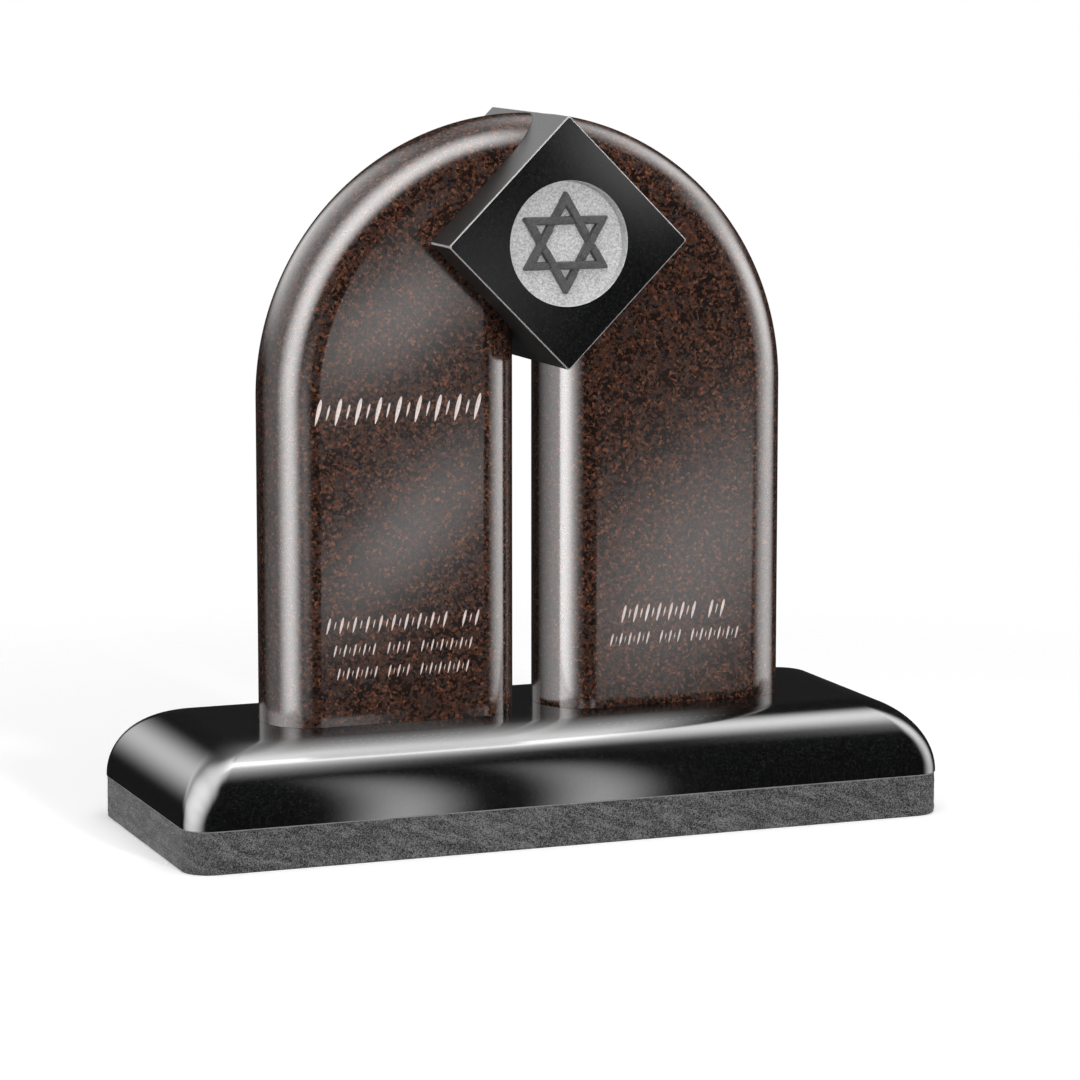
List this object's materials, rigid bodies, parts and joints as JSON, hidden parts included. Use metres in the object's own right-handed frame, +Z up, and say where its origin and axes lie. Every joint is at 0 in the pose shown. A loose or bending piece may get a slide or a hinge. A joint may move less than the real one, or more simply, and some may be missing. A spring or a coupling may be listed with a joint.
{
  "type": "headstone",
  "caption": "Double granite headstone: paired half-arch tablets on a low polished base, joined near the top by a square block on its corner with a carved star medallion.",
  "frame": {"origin": "middle of the base's underside", "axes": "+X along the base towards the right tablet as seen from the front, +Y from the inscribed front to the back, +Z up"},
  "size_m": [1.524, 0.61, 1.3587],
  "materials": {
    "black_granite": "polished black granite, with a rough sawn band round the foot of the base",
    "mahogany_granite": "polished mahogany granite with red-brown, grey and black grains"
  },
  "bodies": {
    "root": {"base": "black_granite", "left_tablet": "mahogany_granite", "right_tablet": "mahogany_granite", "medallion_block": "black_granite"}
  },
  "joints": []
}
